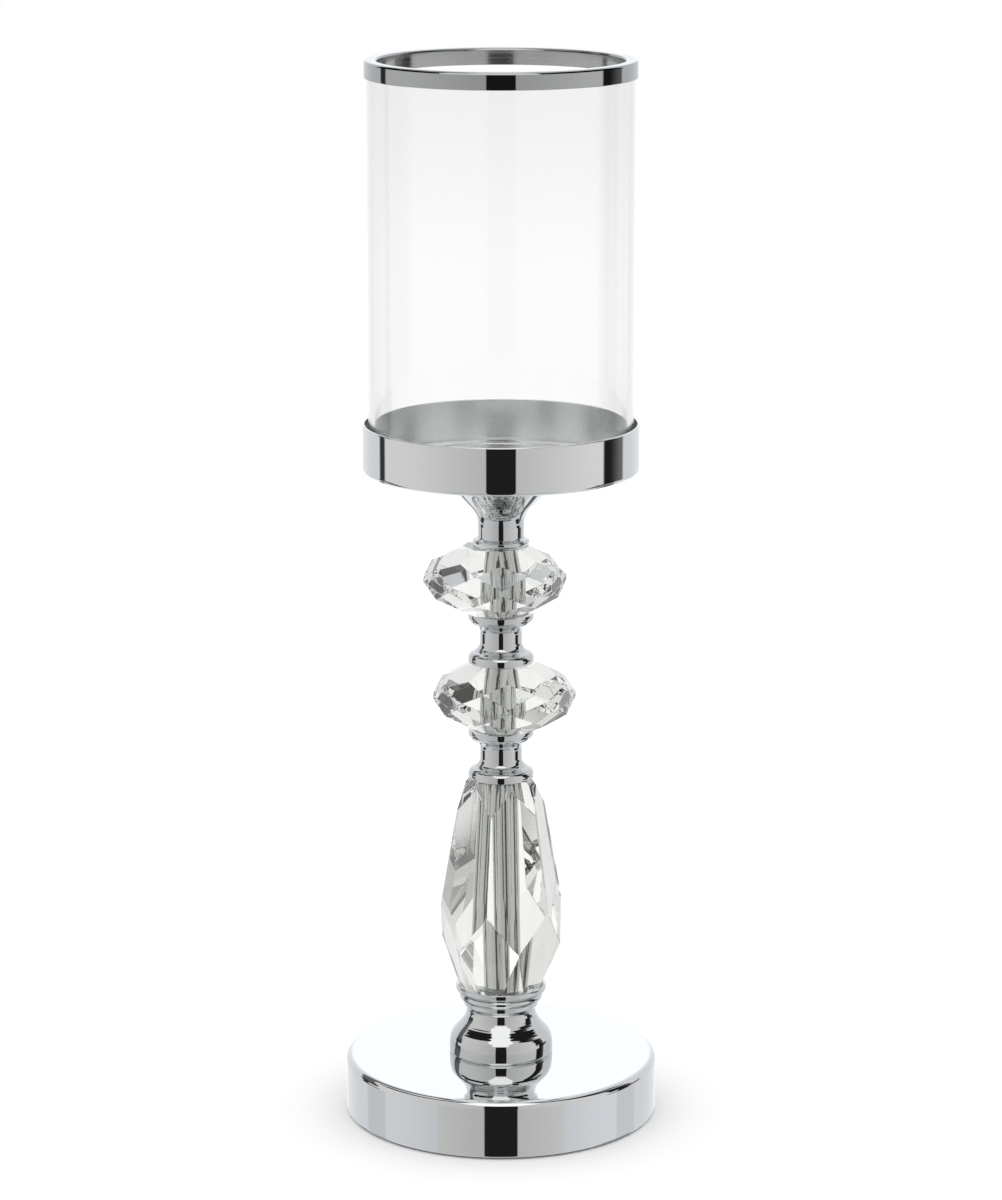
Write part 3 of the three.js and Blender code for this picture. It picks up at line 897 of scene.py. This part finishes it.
def lanternCup():
    s = cupSize
    bottom, radius = low("lantern_cup") + s["panDepth"], radiusOf("lantern_cup")
    top = high("lantern_cup") - bottom
    inside = radius - s["wall"]
    inner = s["edgeRound"] - s["wall"]
    panOuter = s["panRadius"] + s["wall"]
    panTop = s["floor"] - s["panDepth"]
    under, well, lip, edge = s["panRound"], s["wellRound"], s["lipRound"], s["edgeRound"]
    step = s["plateRise"] / 2
    stepMiddle, plateTop = s["floor"] + step, s["floor"] + s["plateRise"]
    shape = [
        (s["hole"], -s["panDepth"]),
        *arcRun(panOuter - under, under - s["panDepth"], under, -90, 0),
        (panOuter, 0),
        *arcRun(radius - edge, edge, edge, -90, 0),
        *arcRun(radius - lip, top - lip, lip, 0, 90),
        *arcRun(inside + lip, top - lip, lip, 90, 180),
        *arcRun(inside - inner, s["floor"] + inner, inner, 0, -90),
        *arcRun(s["plateRadius"] + s["plateRise"], stepMiddle, step, -90, -135),
        *arcRun(s["plateRadius"], stepMiddle, step, 45, 90),
        *arcRun(s["panRadius"] + well, plateTop - well, well, 90, 180),
        (s["panRadius"], panTop),
        (s["hole"], panTop),
    ]
    middles = (inside + s["wall"] / 2, bottom + s["floor"] / 2)
    panMiddles = (s["panRadius"] + s["wall"] / 2, bottom + panTop - s["floor"] / 2)
    finish = cupChrome(*middles, *panMiddles)
    profile = raisedRun(shape, bottom)
    turned("lanternCup", profile, finish, "lantern_cup", "cup_chrome", segments=256)


lanternCup()
print("cup made")

# Glass cylinder and its ring

glassSize = {"wall": 2.4, "edgeRound": 0.9}
ringSize = {
    "outerSkirt": 0.55,
    "innerSkirt": 1.3,
    "gap": 0.3,
    "cap": 1.5,
    "edgeRound": 0.95,
    "footRound": 0.22,
}


def hurricaneGlass():
    node = "hurricane_glass"
    e = glassSize["edgeRound"]
    outer, bottom, top = radiusOf(node), low(node), high(node)
    inner = outer - glassSize["wall"]
    profile = [
        *arcRun(inner + e, bottom + e, e, 180, 270),
        *arcRun(outer - e, bottom + e, e, -90, 0),
        *arcRun(outer - e, top - e, e, 0, 90),
        *arcRun(inner + e, top - e, e, 90, 180),
    ]
    finish = clearFinish("clearGlass", glassLook)
    turned("hurricaneGlass", profile, finish, node, "clear_glass", "chimney", 256)


def rimRing():
    s = ringSize
    outer, bottom, top = radiusOf("rim_ring"), low("rim_ring"), high("rim_ring")
    slotOuter = outer - s["outerSkirt"]
    slotInner = radiusOf("hurricane_glass") - glassSize["wall"] - s["gap"]
    inner = slotInner - s["innerSkirt"]
    e, f = s["edgeRound"], s["footRound"]
    profile = [
        *arcRun(inner + f, bottom + f, f, 180, 270),
        *arcRun(slotInner - f, bottom + f, f, -90, 0),
        (slotInner, top - s["cap"]),
        (slotOuter, top - s["cap"]),
        *arcRun(slotOuter + f, bottom + f, f, 180, 270),
        *arcRun(outer - f, bottom + f, f, -90, 0),
        *arcRun(outer - e, top - e, e, 0, 90),
        *arcRun(inner + e, top - e, e, 90, 180),
    ]
    turned("rimRing", profile, polishedChrome("ring"), "rim_ring", "chrome", "chimney", 256)


hurricaneGlass()
rimRing()
print("glass and ring made")

# Rod, nuts and washers

rodSize = {
    "shank": 2.66,
    "thread": 2.7,  # its middle
    "depth": 0.3,
    "pitch": 1.0,
    "rows": 8,
    "upper": 9,  # threaded lengths
    "lower": 12,
    "tip": 0.5,
    "tipEase": 0.2,
    "threadFrom": 2.68,  # only rows outside this radius are cut
}
nutSize = {
    "acrossFlats": 10,
    "sides": 6,
    "hole": 3.12,
    "bevel": 0.5,
    "faceEase": 0.1,
    "holeBevel": 0.35,
    "near": 1e-7,
}
washerSize = {"inner": 3.2, "chamfer": 0.12}


def tieRod():
    s = rodSize
    bottom, top, tip = low("tie_rod"), high("tie_rod"), s["tip"]
    deep = s["thread"] - s["depth"]
    step = s["pitch"] / s["rows"]
    lower = [(s["thread"], bottom + tip + step * i) for i in range(round(s["lower"] / step))]
    upper = [(s["thread"], top - tip - step * i) for i in range(round(s["upper"] / step))]
    profile = [
        (0, bottom),
        (deep - s["tipEase"], bottom),
        (deep, bottom + tip / 2),
        *lower,
        (s["shank"], lower[-1][1] + s["pitch"]),
        (s["shank"], upper[-1][1] - s["pitch"]),
        *reversed(upper),
        (deep, top - tip / 2),
        (deep - s["tipEase"], top),
        (0, top),
    ]
    thread = {"Depth": s["depth"], "Pitch": s["pitch"], "From": bottom, "To": top, "Lead": 1}
    thread["Radius"] = s["threadFrom"]
    turned("tieRod", profile, zinc, "tie_rod", "zinc_steel", segments=48, rings=thread)


def hexNut(name, node):
    s = nutSize
    bottom, top = low(node), high(node)
    flat = s["acrossFlats"] / 2
    half = math.pi / s["sides"]
    corner, face = flat / math.cos(half), flat - s["faceEase"]
    hole, mouth = s["hole"], s["hole"] + s["holeBevel"]
    profile = [
        (mouth, bottom),
        (face, bottom),
        (corner, bottom + s["bevel"]),
        (corner, top - s["bevel"]),
        (face, top),
        (mouth, top),
        (hole, top - s["holeBevel"]),
        (hole, bottom + s["holeBevel"]),
    ]
    piece = turned(name, profile, zinc, node, "zinc_steel", segments=96)
    body = bmesh.new()
    body.from_mesh(piece.data)
    for i in range(s["sides"]):
        turn = half + 2 * half * i
        side = Vector((math.cos(turn), math.sin(turn), 0))
        parts = body.verts[:] + body.edges[:] + body.faces[:]
        where = {"plane_co": side * flat * mm, "plane_no": side, "clear_outer": True, "dist": s["near"]}
        cut = bmesh.ops.bisect_plane(body, geom=parts, **where)
        rim = [part for part in cut["geom_cut"] if isinstance(part, bmesh.types.BMEdge)]
        for flatFace in bmesh.ops.holes_fill(body, edges=rim)["faces"]:
            flatFace.smooth = False
    bmesh.ops.recalc_face_normals(body, faces=body.faces[:])
    body.to_mesh(piece.data)
    body.free()
    piece.data.set_sharp_from_angle(angle=math.radians(latheLook["sharpAngle"]))


tieRod()
for end in ("cup", "base"):
    hexNut(end + "Nut", end + "_nut")
    tube(end + "Washer", end + "_washer", zinc, "zinc_steel", **washerSize)
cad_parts["base_weight"].material_slots[0].material = grainFinish("castIron")
print("rod, nuts and washers made")

# Studio

studioLook = {  # what chrome and crystal reflect, in degrees: azimuth from the camera, and elevation
    "edgeSoft": 0.8,
    "table": (-24, 1.5),  # what looks lower than this sees the table; then how softly
    "cupBand": (-12.3, 0, 0.3),  # the slopes that the wide cup and ring see
    "baseBand": (-22.8, -17.5, 0.3),
    "panel": (0.50, 0.70),  # side panels, beside the slit and at their far edge
    "panelSpan": (-7.8, 96),
    "rightLift": 1.06,
    "tableShade": 0.93,
    "tableTurn": 48,
    "flagOnTable": (96, 119, 1.5),
    "flagOnTableLight": 0.86,
    "backdrop": (0.72, 0.88, 1.15),  # beside the panels, towards the back and straight behind
    "backdropFrom": (118, 3),
    "backdropSpans": ((125, 172), (160, 177)),
    "tableBack": (134, 4),
    "tableBackLight": 1.0,
    "wideFlags": (94, 107, 121, 112, 120),  # right one: edge, paler part and far edge; left one: edges
    "slimFlags": (85, 103, 109, 101, 123),
    "flagBottom": (-42, 3),
    "flagSoft": (1.5, 2),
    "flagPaler": (-6, 14),
    "flagLean": (24, 1.2),  # above this elevation the right flag leans over the top
    "flagTop": (76, 6),
    "leftLean": (14, 1.1, 32),
    "leftSpread": (30, 62, 12),
    "leftTop": (70, 6),
    "leftLight": (0.04, 0.14),
    "leftLightSpan": (5, 20),
    "dark": 0.014,
    "brown": 0.16,
    "rings": (150, 3, 0.72),  # where the flags' lower edges lie on the table: middle and squeeze
    "rightRing": (41, 51),
    "leftRing": (33.5, 37.5),
    "topLine": (58.5, 72, 1),
    "topLineReach": (116, 2),
    "topLineFall": (40, 0.36),
    "frontLine": (-54, -47, 2),
    "frontLineReach": (62, 8),
    "frontShade": 0.12,
    "slit": (-62, 31, 4),  # dark, for the lens
    "slitReach": (12.2, 0.5),
    "softbox": (-1, 30, 74),  # its middle, bottom and top
    "softboxWidth": (12, 38, 1.4),  # half its width at the bottom, at most, and how fast it opens
    "softboxSoft": (1.5, 2),
    "softboxLight": 1.15,
    "coolFrom": (121, 4),
    "coolOnBase": 2,
    "cool": (0.965, 0.985, 1.02, 1),
    "warm": (0.995, 1.0, 0.982, 1),
    "glassDepth": 3.5,  # straight through both walls of the cylinder the background stays white
    "mirrorDepth": 0.5,
    "stonePower": 0.65,  # light that leaves a stone is evened out by its many facets
    "tableLight": 1.13,  # on what isn't mirror or glass
}


class Studio:  # masks and shades over the directions of the world
    def __init__(self, board):
        self.board = board
        way = board.add("ShaderNodeTexCoord", output="Generated")
        parts = board.add("ShaderNodeSeparateXYZ", None, {0: way})
        x, y, z = parts, parts.of("Y"), parts.of("Z")
        self.azimuth = board.calc("ARCTAN2", x, 0 - y) * math.degrees(1)
        self.elevation = board.calc("ARCSINE", z) * math.degrees(1)
        self.side = board.calc("ABSOLUTE", self.azimuth)
        self.right = self.over(self.azimuth, 0)
        self.down = 1 - self.over(self.elevation, *studioLook["table"])
        self.onBase = self.inside(self.elevation, *studioLook["baseBand"])
        self.light = None

    def over(self, value, edge, soft=studioLook["edgeSoft"]):
        return self.board.between(value, edge - soft, edge + soft)

    def inside(self, value, first, last, soft=studioLook["edgeSoft"]):
        return self.over(value, first, soft) * (1 - self.over(value, last, soft))

    def past(self, value, start, rate):  # grows with what lies past a start
        return self.board.calc("MAXIMUM", value - start, 0) * rate

    def dim(self, mask, share):
        self.light = self.light * (1 - mask * (1 - share))

    def paint(self, mask, shade):
        self.light = self.light + mask * (shade - self.light)


def studioRoom(s):  # the panels at the sides, the backdrop and the table
    look, board = studioLook, s.board
    near, far = look["panel"]
    s.light = near + board.between(s.side, *look["panelSpan"]) * (far - near)
    s.light = s.light * (1 + s.right * (look["rightLift"] - 1))
    s.dim(s.onBase * (1 - s.over(s.side, look["tableTurn"])), look["tableShade"])
    s.dim(s.onBase * s.inside(s.side, *look["flagOnTable"]), look["flagOnTableLight"])
    beside, back, behind = look["backdrop"]
    first, last = look["backdropSpans"]
    sky = beside + board.between(s.side, *first) * (back - beside)
    sky = sky + board.between(s.side, *last) * (behind - back)
    s.paint(s.over(s.side, *look["backdropFrom"]), sky)
    s.paint(s.down * s.over(s.side, *look["tableBack"]), look["tableBackLight"])


def studioFlags(s):  # black flags at both sides, and where their edges lie on the table
    look, board = studioLook, s.board
    onCup = s.inside(s.elevation, *look["cupBand"])
    pairs = zip(look["slimFlags"], look["wideFlags"])
    edges = [slim + onCup * (wide - slim) for slim, wide in pairs]
    soft, farSoft = look["flagSoft"]
    standing = (1 - s.onBase) * s.over(s.elevation, *look["flagBottom"])

    leant = s.azimuth + s.past(s.elevation, *look["flagLean"])
    flag = s.over(leant, edges[0], soft) * (1 - s.over(leant, edges[2], farSoft))
    flag = flag * (1 - s.over(s.elevation, *look["flagTop"]))
    paler = board.between(leant - edges[1], *look["flagPaler"])
    s.paint(flag * standing, look["dark"] + paler * (look["brown"] - look["dark"]))

    leanFrom, rate, most = look["leftLean"]
    spreadFrom, spreadTo, spread = look["leftSpread"]
    leant = 0 - s.azimuth - board.calc("MINIMUM", s.past(s.elevation, leanFrom, rate), most)
    spread = board.between(s.elevation, spreadFrom, spreadTo) * spread
    flag = s.over(leant + spread, edges[3], soft) * (1 - s.over(leant, edges[4], soft))
    flag = flag * (1 - s.over(s.elevation, *look["leftTop"]))
    lowest, highest = look["leftLight"]
    shade = lowest + board.between(s.elevation, *look["leftLightSpan"]) * (highest - lowest)
    s.paint(flag * standing, shade)

    turn, height, squeeze = look["rings"]
    across, upright = s.side - turn, s.elevation - height
    away = board.calc("SQRT", across * across * squeeze + upright * upright)
    s.paint(s.inside(away, *look["rightRing"]) * s.down * s.right, look["brown"])
    s.paint(s.inside(away, *look["leftRing"]) * s.down * (1 - s.right), look["brown"])


def studioFront(s):  # dark lines above and below, the slit for the lens and the softbox over it
    look, board = studioLook, s.board
    raised = s.elevation + s.past(s.side, *look["topLineFall"])
    lines = (
        (raised, look["topLine"], look["topLineReach"], look["dark"]),
        (s.elevation, look["frontLine"], look["frontLineReach"], look["frontShade"]),
        (s.elevation, look["slit"], look["slitReach"], look["dark"]),
    )
    for height, band, reach, shade in lines:
        s.paint(s.inside(height, *band) * (1 - s.over(s.side, *reach)), shade)
    middle, bottom, top = look["softbox"]
    narrow, most, opening = look["softboxWidth"]
    edgeSoft, endSoft = look["softboxSoft"]
    width = board.calc("MINIMUM", narrow + (s.elevation - bottom) * opening, most)
    outside = board.calc("ABSOLUTE", s.azimuth - middle) - width
    box = (1 - s.over(outside, 0, edgeSoft)) * s.inside(s.elevation, bottom, top, endSoft)
    s.paint(box, look["softboxLight"])


def studioWorld():
    look = studioLook
    world = bpy.data.worlds.new("studio")
    bpy.context.scene.world = world
    world.use_nodes = True
    board = Board(world.node_tree)
    background = world.node_tree.nodes["Background"]
    s = Studio(board)
    studioRoom(s)
    studioFlags(s)
    studioFront(s)

    rays = board.add("ShaderNodeLightPath", output="Is Glossy Ray")
    refracted = rays.of("Is Transmission Ray")
    mirrored = rays * (1 - refracted)
    power = look["stonePower"] + (1 - refracted) * (1 - look["stonePower"])
    light = board.calc("POWER", s.light, power)
    onBase = s.onBase * s.over(s.side, look["tableTurn"], look["coolOnBase"])
    coolness = board.calc("MAXIMUM", s.over(s.side, *look["coolFrom"]), onBase)
    coolness = board.calc("MAXIMUM", coolness, s.down) * mirrored
    tint = board.blendColour(coolness, look["warm"], look["cool"])
    scaled = {0: tint, "Scale": light}
    colour = board.add("ShaderNodeVectorMath", {"operation": "SCALE"}, scaled)

    straight = board.calc("LESS_THAN", rays.of("Transmission Depth"), look["glassDepth"])
    bounced = board.calc("GREATER_THAN", rays.of("Glossy Depth"), look["mirrorDepth"])
    shaped = refracted * board.calc("MAXIMUM", straight, bounced)
    shaped = board.calc("MAXIMUM", mirrored, shaped)
    plain = 1 + rays.of("Is Diffuse Ray") * (look["tableLight"] - 1)
    board.feed(background.inputs["Color"], board.blendColour(shaped, plain, colour))
    background.inputs["Strength"].default_value = 1


def stageSheet(name, corners, faces, constants, unseenBy):
    mesh = bpy.data.meshes.new(name)
    mesh.from_pydata(corners, [], faces)
    sheet = bpy.data.objects.new(name, mesh)
    bpy.context.scene.collection.objects.link(sheet)
    mesh.materials.append(newFinish(name, {"Roughness": 1, "Specular IOR Level": 0, **constants})[0])
    for ray in unseenBy:
        setattr(sheet, "visible_" + ray, False)


def paleFloor():
    half = 3.0
    corners = [(-half, -half, 0), (half, -half, 0), (half, half, 0), (-half, half, 0)]
    hidden = ("glossy", "transmission")
    stageSheet("floor", corners, [(0, 1, 2, 3)], {"Base Color": grey(1)}, hidden)


cardSize = {"radius": 0.17, "low": 0.405, "high": 0.53, "steps": 24}
cards = {"left": (-113, -45, 0), "front": (-45, 28, 1.1), "right": (28, 108, 0)}  # azimuths and light


def ringCard(name, first, last, light):  # set close around the ring, whose upper edge alone shows them
    s = cardSize
    turns = [math.radians(first + (last - first) * i / s["steps"]) for i in range(s["steps"] + 1)]
    around = [(s["radius"] * math.sin(a), -s["radius"] * math.cos(a)) for a in turns]
    corners = [(x, y, z) for x, y in around for z in (s["low"], s["high"])]
    faces = [(i, i + 2, i + 3, i + 1) for i in range(0, 2 * s["steps"], 2)]
    constants = {"Base Color": grey(0), "Emission Color": grey(1), "Emission Strength": light}
    stageSheet(name, corners, faces, constants, ("camera", "diffuse", "transmission", "shadow"))


cameraSize = {
    "height": 0.546086,
    "distance": 1.481587,
    "tilt": 13.0558,
    "lens": 120.2418,
    "sensor": 36,
}
bounces = {"max_bounces": 32, "glossy_bounces": 16, "transmission_bounces": 32}


def photoCamera():
    s = cameraSize
    data = bpy.data.cameras.new("photoCamera")
    data.lens = s["lens"]
    data.sensor_width = s["sensor"]
    data.sensor_fit = "AUTO"
    camera = bpy.data.objects.new("photoCamera", data)
    bpy.context.scene.collection.objects.link(camera)
    camera.location = (0, -s["distance"], s["height"])
    camera.rotation_euler = (math.radians(90 - s["tilt"]), 0, 0)
    bpy.context.scene.camera = camera


studioWorld()
paleFloor()
for cardName, card in cards.items():
    ringCard(cardName + "Card", *card)
photoCamera()
scene = bpy.context.scene
scene.view_settings.view_transform = "Standard"
for kind, most in bounces.items():
    setattr(scene.cycles, kind, most)
print("studio set")
